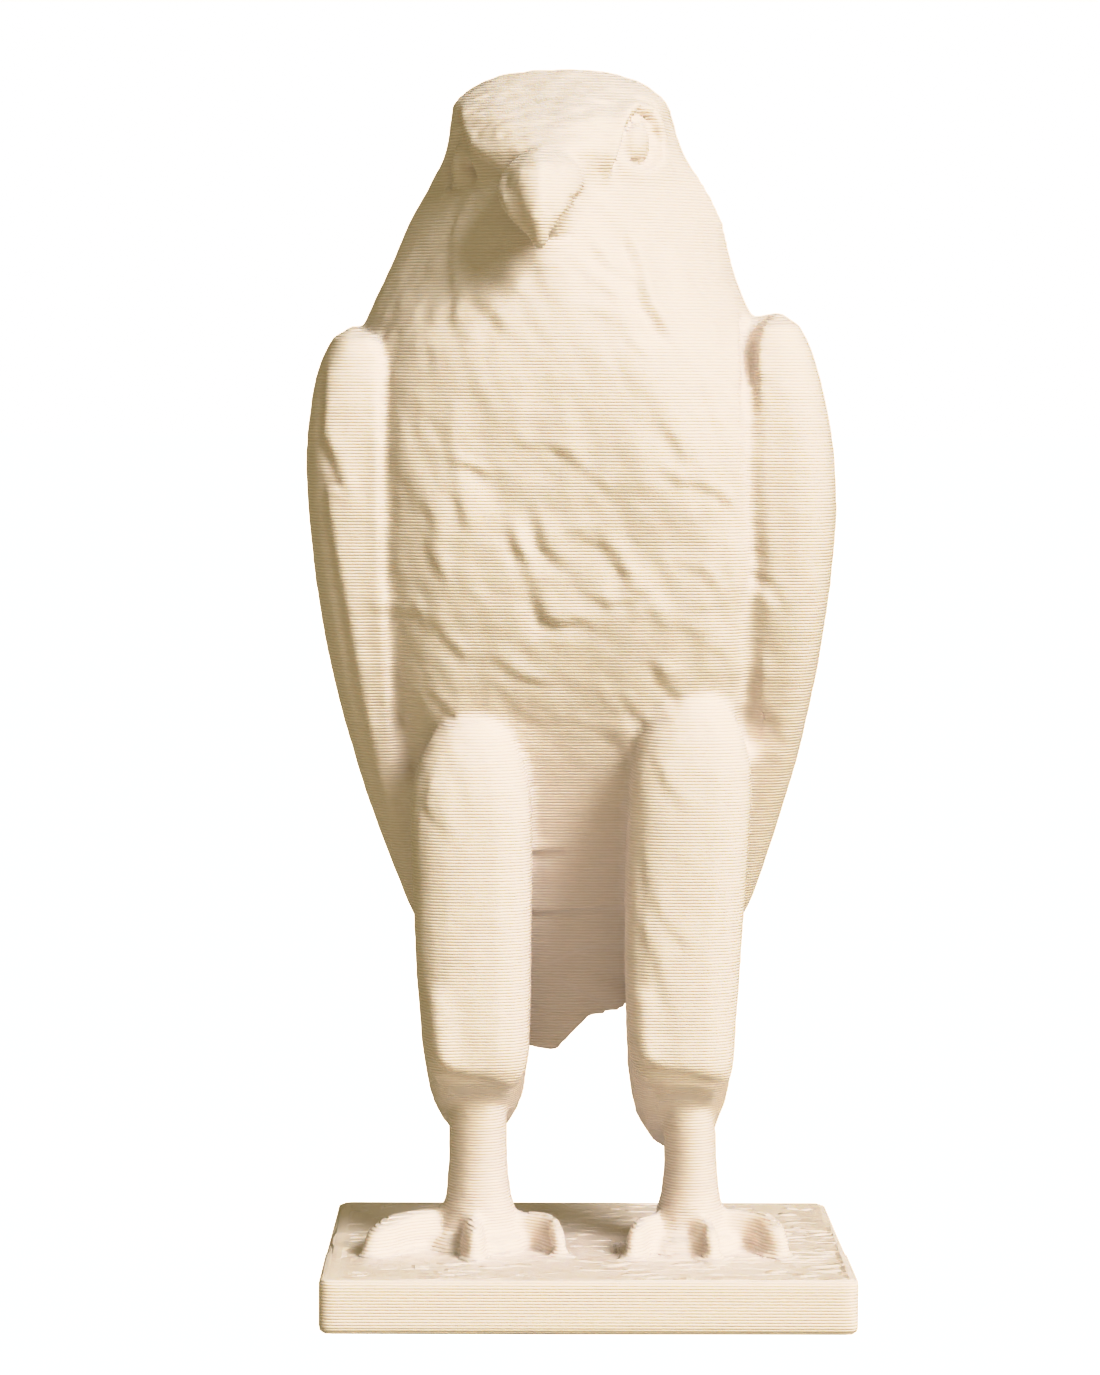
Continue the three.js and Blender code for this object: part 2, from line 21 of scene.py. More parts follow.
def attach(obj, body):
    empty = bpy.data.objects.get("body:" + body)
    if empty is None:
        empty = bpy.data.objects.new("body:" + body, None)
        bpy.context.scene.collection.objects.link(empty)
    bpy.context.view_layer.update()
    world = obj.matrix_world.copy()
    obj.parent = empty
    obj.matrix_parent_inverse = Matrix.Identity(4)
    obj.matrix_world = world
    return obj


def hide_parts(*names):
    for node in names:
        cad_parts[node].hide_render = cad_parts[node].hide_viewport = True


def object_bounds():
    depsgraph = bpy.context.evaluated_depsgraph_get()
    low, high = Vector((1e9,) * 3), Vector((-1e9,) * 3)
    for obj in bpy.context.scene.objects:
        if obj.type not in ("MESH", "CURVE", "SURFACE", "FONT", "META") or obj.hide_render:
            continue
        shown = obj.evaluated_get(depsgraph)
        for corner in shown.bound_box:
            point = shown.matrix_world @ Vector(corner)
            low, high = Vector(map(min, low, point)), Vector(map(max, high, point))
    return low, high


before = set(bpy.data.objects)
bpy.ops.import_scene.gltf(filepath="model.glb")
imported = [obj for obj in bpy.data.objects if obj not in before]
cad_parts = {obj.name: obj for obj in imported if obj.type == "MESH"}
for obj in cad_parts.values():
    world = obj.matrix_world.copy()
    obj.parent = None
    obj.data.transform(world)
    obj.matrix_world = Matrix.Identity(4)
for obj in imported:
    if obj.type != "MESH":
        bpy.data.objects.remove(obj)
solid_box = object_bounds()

MM = 0.001
scene = bpy.context.scene
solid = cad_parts["falcon_figure"]
print("the solid's box in mm", [[round(v / MM, 1) for v in corner] for corner in solid_box])

# %% [markdown]
# The camera
#
# The photo was taken from a little above the figure's middle, about 30 cm away, looking slightly
# down. The camera goes there first, because everything after it is judged through it.

# %% Camera at the photo's viewing angle
CAMERA_PLACE = Vector((-5.7, -300.5, 63.6)) * MM
LOOKING_DOWN = math.radians(4.3)
TURNED_RIGHT = math.radians(0.6)
LEANING = math.radians(0.25)
FRAME_WIDTH = 1100
FRAME_HEIGHT = 1375
FOCAL_LENGTH_IN_PIXELS = 4500
SENSOR_HEIGHT = 36
NEAREST_SHOWN = 0.01

lens = bpy.data.cameras.new("photo_camera")
lens.sensor_fit = "VERTICAL"
lens.sensor_height = SENSOR_HEIGHT
lens.lens = FOCAL_LENGTH_IN_PIXELS / FRAME_HEIGHT * SENSOR_HEIGHT
lens.clip_start = NEAREST_SHOWN
camera = bpy.data.objects.new("photo_camera", lens)
scene.collection.objects.link(camera)
aim = Matrix.Rotation(-TURNED_RIGHT, 4, "Z") @ Matrix.Rotation(math.pi / 2 - LOOKING_DOWN, 4, "X")
camera.matrix_world = Matrix.Translation(CAMERA_PLACE) @ aim @ Matrix.Rotation(LEANING, 4, "Z")
scene.camera = camera
bpy.context.view_layer.update()
print("lens", round(lens.lens, 1), "mm")

# %% [markdown]
# A fine, even skin
#
# The solid is made of long thin facets that meet in hard corners. The real figure's surface is
# rounded and even, so the copy is merged, and a Remesh modifier rebuilds it from small cubes.
# Pairs of Smooth modifiers, one inwards and one outwards, then take off the steps without
# thinning the toes.

# %% Helpers for one piece and its modifiers
MERGED_WITHIN = 0.001 * MM


def only(piece):
    bpy.ops.object.select_all(action="DESELECT")
    piece.select_set(True)
    bpy.context.view_layer.objects.active = piece


def merged_copy(node, name):
    piece = node.copy()
    piece.data = node.data.copy()
    piece.name = name
    scene.collection.objects.link(piece)
    only(piece)
    bpy.ops.object.mode_set(mode="EDIT")
    bpy.ops.mesh.select_all(action="SELECT")
    bpy.ops.mesh.remove_doubles(threshold=MERGED_WITHIN)
    bpy.ops.object.mode_set(mode="OBJECT")
    return piece


def apply_modifier(piece, kind, **settings):
    only(piece)
    modifier = piece.modifiers.new(kind.lower(), kind)
    for setting, value in settings.items():
        setattr(modifier, setting, value)
    bpy.ops.object.modifier_apply(modifier=modifier.name)


print("points closer than", MERGED_WITHIN / MM, "mm become one")

# %% Copy the solid and give it the skin
SKIN_STEP = 0.31 * MM
SMOOTHING_PAIRS = 5
SMOOTH_IN = 0.52
SMOOTH_OUT = -0.545

figure = merged_copy(solid, "printed_falcon")
apply_modifier(figure, "REMESH", mode="VOXEL", voxel_size=SKIN_STEP)
for _ in range(SMOOTHING_PAIRS):
    apply_modifier(figure, "SMOOTH", factor=SMOOTH_IN, iterations=1)
    apply_modifier(figure, "SMOOTH", factor=SMOOTH_OUT, iterations=1)
print("even skin faces", len(figure.data.polygons))

# %% [markdown]
# More skin where it is needed, less where it isn't
#
# The sides of the wings and the back are broad and plain. They are rounded off first, so that no
# trace of the solid's facets is left there, and then a Decimate modifier thins them together
# with the slab's lower part. The face has the smallest forms and is divided once.

# %% Helpers that read the skin and mark a part of it


def points_of(piece):
    places = np.empty(len(piece.data.vertices) * 3)
    piece.data.vertices.foreach_get("co", places)
    return places.reshape(-1, 3)


def normals_of(piece):
    normals = np.empty(len(piece.data.vertices) * 3, dtype=np.float32)
    piece.data.vertex_normals.foreach_get("vector", normals)
    return normals.reshape(-1, 3)


def mark(piece, name, chosen):
    group = piece.vertex_groups.new(name=name)
    group.add(np.flatnonzero(chosen).tolist(), 1.0, "REPLACE")


print(len(points_of(figure)), "points to read")

# %% Round off the broad faces: heights and depths in mm, then shares of a unit normal
WING_FOOT = 19
CROWN_START = 78
WING_BORDER = -7
NOT_TO_THE_FRONT = -0.25
NEARLY_LEVEL = 0.6
ROUNDING_PASSES = 45
HALF_WAY = 0.5

x, y, z = points_of(figure).T / MM
_, backward, upward = normals_of(figure).T
broad = (z > WING_FOOT) & (z < CROWN_START) & (y > WING_BORDER)
broad &= (backward > NOT_TO_THE_FRONT) & (np.abs(upward) < NEARLY_LEVEL)
mark(figure, "broad_faces", broad)
apply_modifier(figure, "SMOOTH", vertex_group="broad_faces", factor=HALF_WAY, iterations=ROUNDING_PASSES)
print(broad.sum(), "points rounded off")

# %% Thin the parts that show no detail: heights and depths in mm
BACK_START = 1.5
OVER_THE_SLAB = 5
UNSEEN_FROM_FRONT = -0.35
SLAB_LOWER_PART = 3
SLAB_FRONT = -13
BACK_KEPT = 0.12

x, y, z = points_of(figure).T / MM
plain = (y > BACK_START) & (z > OVER_THE_SLAB) & (normals_of(figure)[:, 1] > UNSEEN_FROM_FRONT)
plain |= (z < SLAB_LOWER_PART) & (y > SLAB_FRONT)
mark(figure, "plain_parts", plain)
kept = 1 - plain.mean() * (1 - BACK_KEPT)
apply_modifier(figure, "DECIMATE", ratio=kept, vertex_group="plain_parts", vertex_group_factor=1)
print("after thinning the back", len(figure.data.polygons))

# %% Divide the face
FACE_BOTTOM = 70.5 * MM
FACE_BACK = -2.5 * MM

only(figure)
bpy.ops.object.mode_set(mode="EDIT")
bpy.ops.mesh.select_mode(type="FACE")
bpy.ops.mesh.select_all(action="DESELECT")
skin = bmesh.from_edit_mesh(figure.data)
for face in skin.faces:
    middle = face.calc_center_median()
    face.select = middle.z > FACE_BOTTOM and middle.y < FACE_BACK
bmesh.update_edit_mesh(figure.data)
bpy.ops.mesh.subdivide(number_cuts=1, smoothness=0)
bpy.ops.object.mode_set(mode="OBJECT")
figure.data.calc_loop_triangles()
print("skin triangles", len(figure.data.loop_triangles), "points", len(figure.data.vertices))

# %% [markdown]
# Tools for working the surface
#
# A carver's wear marks are mostly soft: a hollow, a groove along a line, or a ledge with one side
# higher than the other. Each tool below moves the skin's points along their own normals and
# fades out with distance, as a sculpting brush does. A mark is given by the places in the photo
# that it passes, and a ray from the camera through each place finds the spot on the skin.


# %% The skin's points and normals, in mm
class Skin:
    def __init__(self, piece):
        self.piece = piece
        self.read()

    def read(self):
        self.points = points_of(self.piece) / MM
        self.normals = normals_of(self.piece)
        self.tree = BVHTree.FromObject(self.piece, bpy.context.evaluated_depsgraph_get())

    def write(self):
        self.piece.data.vertices.foreach_set("co", (self.points * MM).ravel())
        self.piece.data.update()

    def refresh(self):
        self.write()
        self.read()

    def push(self, chosen, amounts):
        self.points[chosen] += self.normals[chosen] * np.asarray(amounts)[:, None]


surface = Skin(figure)
print("the skin is ready for the brushes")


# %% Find a place of the photo on the skin
def seen_at(across, down):
    """The spot on the skin that the photo shows at this place, given in its pixels."""
    way = Vector((
        (across - FRAME_WIDTH / 2) / FOCAL_LENGTH_IN_PIXELS,
        (FRAME_HEIGHT / 2 - down) / FOCAL_LENGTH_IN_PIXELS,
        -1,
    ))
    hit = surface.tree.ray_cast(CAMERA_PLACE, (camera.matrix_world.to_3x3() @ way).normalized())
    return None if hit[0] is None else np.array(hit[0]) / MM


def seen_line(places):
    spots = [spot for spot in (seen_at(*place) for place in places) if spot is not None]
    return spots * 2 if len(spots) == 1 else spots


print("the photo's middle shows the spot", seen_at(FRAME_WIDTH / 2, FRAME_HEIGHT / 2).round(1))

# %% Choose the points near a line
FADED_OUT = 2.6
FAR_AWAY = 1e9
TINY = 1e-9
VIEWING_AXIS = (0, 1, 0)


def near_line(line, reach):
    """Points near a line, how far off it they are, and how far to the left of the way along it."""
    line = np.array(line)
    low = line.min(axis=0) - FADED_OUT * reach
    high = line.max(axis=0) + FADED_OUT * reach
    chosen = np.flatnonzero(((surface.points > low) & (surface.points < high)).all(axis=1))
    points = surface.points[chosen]
    away = np.full(len(points), FAR_AWAY)
    beside = np.zeros(len(points))
    for a, b in zip(line[:-1], line[1:]):
        run = b - a
        t = np.clip(((points - a) @ run) / max(run @ run, TINY), 0, 1)
        off = points - (a + t[:, None] * run)
        distance = np.linalg.norm(off, axis=1)
        leftward = np.cross(run, VIEWING_AXIS)
        leftward = leftward / max(np.linalg.norm(leftward), TINY)
        closer = distance < away
        away[closer] = distance[closer]
        beside[closer] = (off @ leftward)[closer]
    return chosen, away, beside


print("a mark has faded out at", FADED_OUT, "times its width")

# %% Soft borders and noise
WEAKER_EACH_TIME = 1.0
FINER_EACH_TIME = 2.0


def fade(low, high, values):
    """Rises smoothly from 0 at low to 1 at high."""
    t = np.clip((values - low) / (high - low), 0, 1)
    return t * t * (3 - 2 * t)


def stretched_noise(points, along, length, width, seed, octaves=2):
    """Uneven heights whose humps are as long and as wide as given, in mm."""
    along = np.array(along) / np.linalg.norm(along)
    run = points @ along
    rest = points - run[:, None] * along
    scaled = rest / width + (run / length)[:, None] * along + seed
    return np.array([noise.fractal(Vector(p), WEAKER_EACH_TIME, FINER_EACH_TIME, octaves) for p in scaled])


print("a border that fades over four steps", fade(0, 4, np.arange(5)).round(2))

# %% Brushes
UPRIGHT = (0.0, 0.0, 1.0)
RAGGED_GRAIN = 1.5
RAGGED_SEED = 3.3


def hollow(places, width, depth):
    """A hollow (depth above 0) or a swelling (below 0) round a spot or along a line."""
    chosen, away, _ = near_line(seen_line(places), width)
    surface.push(chosen, -depth * np.exp(-((away / width) ** 2)))


def ledge(places, rise, softness, reach, ragged=0):
    """A small step. Where the line runs down the photo, its right side stands higher."""
    chosen, away, beside = near_line(seen_line(places), reach)
    step = rise / 2 * np.tanh(beside / softness) * np.exp(-((away / reach) ** 2))
    if ragged:
        chips = stretched_noise(surface.points[chosen], UPRIGHT, RAGGED_GRAIN, RAGGED_GRAIN, RAGGED_SEED)
        step *= 1 + ragged * chips
    surface.push(chosen, step)


def soften(places, width, passes):
    """Rubs the skin smooth along a line."""
    surface.write()
    chosen, away, _ = near_line(seen_line(places), width)
    rubbed = figure.vertex_groups.new(name="rubbed")
    for point, weight in zip(chosen.tolist(), np.exp(-((away / width) ** 2)).tolist()):
        rubbed.add([point], weight, "REPLACE")
    apply_modifier(figure, "SMOOTH", factor=HALF_WAY, iterations=passes, vertex_group="rubbed")
    figure.vertex_groups.remove(figure.vertex_groups["rubbed"])
    surface.read()


def lump(place, across, down, lift):
    """An oval mound (lift above 0) or dip (below 0), with its half axes in mm."""
    spot = seen_at(*place)
    chosen = np.flatnonzero((np.abs(surface.points - spot) < FADED_OUT * max(across, down)).all(axis=1))
    off = surface.points[chosen] - spot
    inward = off[:, 1] / max(across, down)
    surface.push(chosen, lift * np.exp(-((off[:, 0] / across) ** 2 + (off[:, 2] / down) ** 2 + inward**2)))


print("four brushes")

# %% [markdown]
# Old wear on the breast and belly
#
# The carving's breast is worn into soft slanting folds with sharper ledges between them, as if the
# stone's crust had gone and the softer inside had been rubbed away. Shallow folds come first, from
# a noise that is stretched along the slant. The ledges that a viewer would look for are then
# placed one by one, the strong ones first.

# %% Slanting folds
# Each pair says where the folds fade in and where they are full, in mm, or for TURNED_TO_FRONT as
# the part of the normal that points to the back.
BREAST_FOOT = (34, 42)
BREAST_TOP = (74, 66)
BREAST_MIDDLE = -1.5
BREAST_SIDE = (14.5, 12.5)
TURNED_TO_FRONT = (-0.05, -0.5)
FOLD_SLANT = (0.42, 0.0, -0.91)
FOLD_LENGTH = 4.2
FOLD_WIDTH = 1.7
FOLD_HEIGHT = 0.13
FOLD_SEED = 11.3
BARELY = 0.001

x, y, z = surface.points.T
on_breast = fade(*TURNED_TO_FRONT, surface.normals[:, 1]) * fade(*BREAST_FOOT, z) * fade(*BREAST_TOP, z)
on_breast *= fade(*BREAST_SIDE, np.abs(x - BREAST_MIDDLE))
breast_points = np.flatnonzero(on_breast > BARELY)
folds = stretched_noise(surface.points[breast_points], FOLD_SLANT, FOLD_LENGTH, FOLD_WIDTH, FOLD_SEED)
surface.push(breast_points, FOLD_HEIGHT * folds * on_breast[breast_points])
surface.refresh()
print(len(breast_points), "points in the folds")

# %% Strong ledges on the breast: places in the photo, then rise and softness in mm
STRONG_LEDGES = {
    "high left ledge": ([(402, 478), (411, 492), (420, 506)], 0.22, 0.4),
    "left ledge": ([(425, 508), (431, 518), (433, 530)], 0.3, 0.28),
    "low end of the left ledge": ([(427, 545), (431, 556), (438, 569)], 0.42, 0.3),
    "ledge by the left wing": ([(384, 540), (387, 555), (391, 571)], 0.36, 0.28),
    "first belly ledge": ([(510, 533), (514, 545), (520, 555)], 0.62, 0.3),
    "tail of the first belly ledge": ([(522, 560), (526, 570), (533, 586)], 0.08, 0.28),
    "second belly ledge": ([(538, 530), (542, 547), (553, 557)], 0.52, 0.28),
    "third belly ledge": ([(606, 545), (613, 556), (621, 568)], 0.46, 0.28),
    "crescent": ([(538, 606), (543, 616), (551, 622), (560, 625), (568, 624)], 0.62, 0.26),
    "nick by the left wing": ([(383, 610), (392, 612), (403, 612)], 0.4, 0.18),
    "low left ledge": ([(433, 622), (445, 638), (459, 652)], 0.4, 0.28),
    "pit over the left thigh": ([(437, 699), (449, 711)], 0.42, 0.24),
    "ledge left of the thigh": ([(402, 682), (415, 694), (425, 710), (431, 728)], 0.26, 0.26),
    "ledge over the right thigh": ([(659, 672), (664, 682), (672, 691)], 0.4, 0.26),
    "ledge right of the belly": ([(616, 738), (623, 748), (630, 760)], 0.26, 0.28),
}
STRONG_SHARE = 0.8
STRONG_REACH = 0.85
BREAST_RAGGED = 0.6

for places, rise, softness in STRONG_LEDGES.values():
    ledge(places, STRONG_SHARE * rise, softness, STRONG_REACH, BREAST_RAGGED)
print(len(STRONG_LEDGES), "strong ledges")

# %% Soft ledges on the breast: places in the photo, then rise and softness in mm
SOFT_LEDGES = {
    "pit by the left breast": ([(464, 466), (470, 467), (477, 471)], 0.42, 0.2),
    "nick over the pit": ([(472, 451), (482, 457)], 0.12, 0.16),
    "upper left ledge": ([(449, 412), (447, 440), (452, 462), (454, 476)], 0.22, 0.3),
    "ledge by the left shoulder": ([(412, 405), (425, 414), (437, 427)], 0.12, 0.4),
    "short left ledge": ([(458, 504), (464, 521)], 0.26, 0.28),
    "short left ledge below": ([(456, 575), (461, 591)], 0.12, 0.25),
    "long soft ledge": ([(480, 395), (492, 412), (505, 432), (512, 456)], 0.11, 0.6),
    "breast ledge": ([(521, 446), (540, 446), (550, 445), (557, 452)], 0.24, 0.18),
    "breast ledge below": ([(566, 451), (574, 462), (584, 472), (601, 485)], 0.22, 0.22),
    "short breast ledge": ([(536, 414), (542, 426)], 0.1, 0.25),
    "right breast ledge": ([(670, 476), (680, 483), (700, 484), (712, 491), (724, 500)], 0.34, 0.2),
    "short right ledge": ([(672, 438), (680, 451)], 0.22, 0.25),
    "nick under the neck": ([(630, 342), (638, 349)], 0.16, 0.14),
    "high right ledge": ([(624, 371), (633, 386), (641, 399)], 0.1, 0.4),
    "high right ledge below": ([(640, 415), (655, 428), (671, 437)], 0.08, 0.4),
    "middle ledge": ([(594, 420), (600, 448), (605, 466)], 0.08, 0.4),
    "stripe by the right wing": ([(704, 360), (720, 371), (739, 386)], 0.1, 0.25),
    "second stripe": ([(712, 346), (724, 356), (740, 370)], 0.07, 0.25),
    "belly ledge above the third": ([(580, 535), (590, 541), (600, 546)], 0.22, 0.28),
    "belly ledge below the first": ([(514, 556), (524, 571), (535, 587)], 0.2, 0.4),
    "end of the crescent": ([(582, 621), (589, 626)], 0.34, 0.2),
    "ledge by the crescent": ([(600, 601), (608, 605), (623, 602)], 0.46, 0.22),
    "right belly ledge": ([(634, 591), (645, 592), (653, 588)], 0.15, 0.18),
    "right belly ledge below": ([(645, 597), (652, 610), (661, 624)], 0.24, 0.3),
    "right fold": ([(690, 568), (705, 575), (715, 585), (719, 598)], 0.2, 0.3),
    "right fold below": ([(690, 631), (704, 640), (719, 653)], 0.2, 0.35),
    "low right fold": ([(705, 609), (726, 606)], 0.08, 0.25),
    "left ledge above the low one": ([(416, 611), (424, 626)], 0.3, 0.3),
    "second low ledge": ([(462, 625), (470, 640), (476, 655), (480, 672), (486, 690)], 0.16, 0.35),
    "low pits": ([(500, 663), (508, 668), (520, 676), (535, 681)], 0.36, 0.22),
    "soft belly ledge": ([(510, 624), (518, 640), (531, 651)], 0.1, 0.4),
    "ledge right of the left thigh": ([(500, 690), (512, 705), (525, 718), (541, 723)], 0.22, 0.35),
    "small low ledge": ([(535, 689), (541, 701)], 0.1, 0.3),
    "low ledge by the right thigh": ([(598, 691), (603, 702), (611, 709)], 0.28, 0.28),
    "low ledge beside it": ([(625, 699), (632, 710), (641, 719)], 0.26, 0.28),
    "ledge between the thighs": ([(575, 722), (598, 730), (613, 739)], 0.12, 0.3),
    "soft ledge between the thighs": ([(545, 733), (560, 745), (578, 762)], 0.1, 0.5),
}
SOFT_SHARE = 0.85
SOFT_REACH = 0.75

for places, rise, softness in SOFT_LEDGES.values():
    ledge(places, SOFT_SHARE * rise, softness, SOFT_REACH, BREAST_RAGGED)
surface.refresh()
print(len(SOFT_LEDGES), "soft ledges")

# %% Two small mounds over the right thigh
MOUND_UNDER_THE_LEDGE = (667, 671)
MOUND_LEFT_OF_THE_THIGH = (626, 727)

lump(MOUND_UNDER_THE_LEDGE, across=0.7, down=0.7, lift=0.14)
lump(MOUND_LEFT_OF_THE_THIGH, across=0.7, down=0.8, lift=0.16)
surface.refresh()
print("two mounds on the belly")

# %% [markdown]
# Neck and cheeks
#
# The neck carries a few long creases that run down from the cheeks. A deeper one on the left
# marks the edge of the face, and small ones show under the beak.

# %% Creases on the neck: places in the photo, then rise and softness in mm
NECK_CREASES = {
    "crease down the neck": ([(632, 252), (640, 274), (642, 290), (647, 305), (656, 319)], 0.28, 0.24),
    "crease under the cheek": ([(600, 255), (609, 268), (619, 273)], 0.14, 0.2),
    "short crease below it": ([(598, 283), (607, 291)], 0.12, 0.25),
    "outer crease": ([(655, 225), (665, 241), (672, 260), (679, 281)], 0.12, 0.4),
    "inner crease": ([(600, 205), (610, 220), (622, 229)], 0.1, 0.4),
    "crease under the beak": ([(539, 272), (545, 289), (553, 301)], 0.07, 0.35),
    "second crease under the beak": ([(520, 298), (530, 320), (541, 336)], 0.06, 0.4),
    "left neck crease": ([(482, 305), (490, 314), (497, 322)], 0.1, 0.35),
    "low neck crease": ([(600, 315), (625, 325), (655, 328)], 0.08, 0.4),
}
NECK_SHARE = 2.6
NECK_REACH = 1.1
NECK_RAGGED = 0.4
EDGE_OF_THE_FACE = [(459, 212), (454, 224), (451, 240), (451, 262), (452, 280), (454, 296), (453, 312)]

for places, rise, softness in NECK_CREASES.values():
    ledge(places, NECK_SHARE * rise, softness, NECK_REACH, NECK_RAGGED)
ledge(EDGE_OF_THE_FACE, rise=0.26, softness=0.3, reach=0.9)
surface.refresh()
print(len(NECK_CREASES) + 1, "creases on the neck")

# %% [markdown]
# The face
#
# The forehead is a flat front plane that ends at its left in a ridge, and the eye lies in the shade
# behind the ridge. The other eye shows whole: a smooth oval under an arched brow, with a thin lid
# round its lower side. The beak has a keel down its middle, a hollow left side, and at its right a
# clean edge with a short gape.

# %% The left brow and the eye behind it
LEFT_BROW = [(457, 100), (460, 114), (463, 130), (470, 147), (482, 158), (496, 167)]
LEFT_EYE_HOLE = [(466, 168), (470, 175)]
LEFT_EYE_GROOVE = [(459, 118), (463, 140), (467, 156)]
LEFT_CHEEK_GROOVE = [(449, 163), (450, 178), (452, 188)]
LEFT_CHEEK_SWELLING = [(443, 194), (450, 191)]

ledge(LEFT_BROW, rise=0.52, softness=0.22, reach=0.8)
hollow(LEFT_EYE_HOLE, width=0.42, depth=0.85)
hollow(LEFT_EYE_GROOVE, width=0.2, depth=0.12)
hollow(LEFT_CHEEK_GROOVE, width=0.2, depth=0.15)
hollow(LEFT_CHEEK_SWELLING, width=0.5, depth=-0.12)
surface.refresh()
print("left eye's hole at", seen_at(*LEFT_EYE_HOLE[0]).round(1))

# %% The right eye under its arched brow
UNDER_THE_EYE = [(658, 140), (657, 156), (650, 170), (636, 174), (622, 168)]
LEFT_OF_THE_EYE = [(623, 132), (622, 150), (627, 162)]
RIGHT_BROW = [(657, 128), (652, 116), (641, 110), (632, 116), (625, 130), (620, 148), (615, 166)]
RIGHT_BROW_GROOVE = [(654, 121), (641, 113), (633, 118), (627, 130), (622, 148), (617, 164)]
RIGHT_LID_LINE = [(650, 136), (651, 150), (648, 161), (641, 165), (633, 161)]
RIGHT_EYEBALL = (638, 142)
DIP_BESIDE_THE_BEAK = (600, 176)

soften(UNDER_THE_EYE, width=0.9, passes=24)
soften(LEFT_OF_THE_EYE, width=0.5, passes=14)
ledge(RIGHT_BROW, rise=-0.85, softness=0.2, reach=0.8)
hollow(RIGHT_BROW_GROOVE, width=0.26, depth=0.6)
hollow(RIGHT_LID_LINE, width=0.22, depth=0.2)
lump(RIGHT_EYEBALL, across=0.7, down=1.2, lift=0.08)
lump(DIP_BESIDE_THE_BEAK, across=0.9, down=1.6, lift=-0.35)
surface.refresh()
print("right eye at", seen_at(*RIGHT_EYEBALL).round(1))

# %% The beak
KEEL = [(541, 165), (541, 185), (541, 205), (541, 228), (542, 240)]
LEFT_SIDE_OF_BEAK = [(504, 178), (510, 196), (517, 213), (527, 231)]
RIGHT_EDGE_OF_BEAK = [(582, 198), (575, 208), (567, 220), (560, 232)]
RIGHT_EDGE_INSIDE = [(576, 203), (568, 215), (560, 228)]
RIGHT_EDGE_BY_THE_TIP = [(570, 224), (562, 234), (556, 240)]
RIGHT_EDGE_ALL_ALONG = [(580, 198), (572, 210), (563, 224), (556, 238)]
GAPE = [(571, 199), (580, 198)]
UNDER_THE_TIP = [(549, 238), (560, 238), (570, 235)]

hollow(KEEL, width=0.5, depth=-0.2)
hollow(LEFT_SIDE_OF_BEAK, width=0.8, depth=0.3)
soften(RIGHT_EDGE_OF_BEAK, width=0.9, passes=60)
soften(RIGHT_EDGE_INSIDE, width=0.7, passes=30)
soften(RIGHT_EDGE_BY_THE_TIP, width=0.7, passes=40)
soften(RIGHT_EDGE_ALL_ALONG, width=0.8, passes=60)
hollow(GAPE, width=0.24, depth=0.14)
hollow(UNDER_THE_TIP, width=0.3, depth=0.14)
surface.refresh()
print("beak's tip at", seen_at(*KEEL[-1]).round(1))

# %% [markdown]
# The borders between breast and wings
#
# Each wing's front band is nearly flat. The left one has a crisp ragged outer edge where flakes
# came off, and a soft inner edge that stands proud of the breast. The right one has a groove
# along its inner edge, with a chip where the groove is widest.

# %% The seams beside both wings and the left band's ragged edge
LEFT_BAND_EDGE = [
    (328, 345), (325, 380), (324, 410), (323, 436), (331, 452), (342, 486), (326, 489), (327, 510),
    (331, 535), (336, 562), (341, 590), (346, 615), (350, 640), (357, 680), (365, 720), (375, 770),
    (383, 800),
]
LEFT_SEAM = [
    (379, 335), (379, 400), (380, 480), (381, 560), (385, 620), (388, 680), (392, 740), (400, 780),
]
RIGHT_GROOVE = [
    (746, 322), (745, 350), (747, 390), (750, 425), (750, 460), (752, 500), (753, 530), (757, 562),
    (757, 578),
]
RIGHT_GROOVE_BELOW = [(754, 590), (750, 612), (749, 640), (749, 668), (750, 695)]
LEFT_SEAM_UPWARDS = [
    (401, 780), (392, 740), (385, 620), (381, 560), (380, 480), (379, 400), (379, 335),
]
LEFT_BREAST_BORDER = [(386, 400), (387, 480), (388, 560), (391, 620), (395, 680), (400, 740)]

soften(LEFT_SEAM, width=0.8, passes=24)
soften(RIGHT_GROOVE, width=0.7, passes=20)
soften(RIGHT_GROOVE_BELOW, width=0.8, passes=28)
ledge(LEFT_BAND_EDGE, rise=0.5, softness=0.24, reach=0.8, ragged=0.4)
ledge(LEFT_SEAM_UPWARDS, rise=0.3, softness=0.25, reach=0.6)
hollow(LEFT_BREAST_BORDER, width=0.4, depth=0.12)
hollow(RIGHT_GROOVE, width=0.5, depth=0.6)
hollow(RIGHT_GROOVE_BELOW, width=0.55, depth=0.3)
print(len(LEFT_BAND_EDGE), "places along the left band's edge")

# %% Where the seams end over the thighs
RIGHT_SEAM_DIP = (757, 724)
RIGHT_SEAM_END = [(752, 734), (754, 746), (755, 756)]
LEFT_SEAM_END = [(403, 745), (407, 768), (410, 790)]

lump(RIGHT_SEAM_DIP, across=1, down=1.6, lift=-0.5)
soften(RIGHT_SEAM_END, width=0.9, passes=60)
soften(LEFT_SEAM_END, width=0.9, passes=60)
print("ends of the seams")

# %% Chips and nicks beside the right groove
BREAST_LIP = [(738, 330), (738, 362), (741, 392), (743, 430), (743, 470), (745, 510), (748, 545)]
LONG_CHIP = [(757, 650), (762, 634), (765, 652)]
LOW_CHIP = [(775, 727)]
LOW_CHIP_EDGE = [(765, 712), (772, 722), (779, 736)]
LOWEST_NICK = [(765, 755), (773, 759)]
FLAKE = [(764, 596), (772, 604)]
FLAKE_EDGE = [(760, 576), (770, 580), (777, 588), (781, 599)]
FLAKE_INNER_EDGE = [(762, 584), (768, 588), (772, 594)]
HIGH_NICK = [(755, 375), (766, 380), (774, 388)]

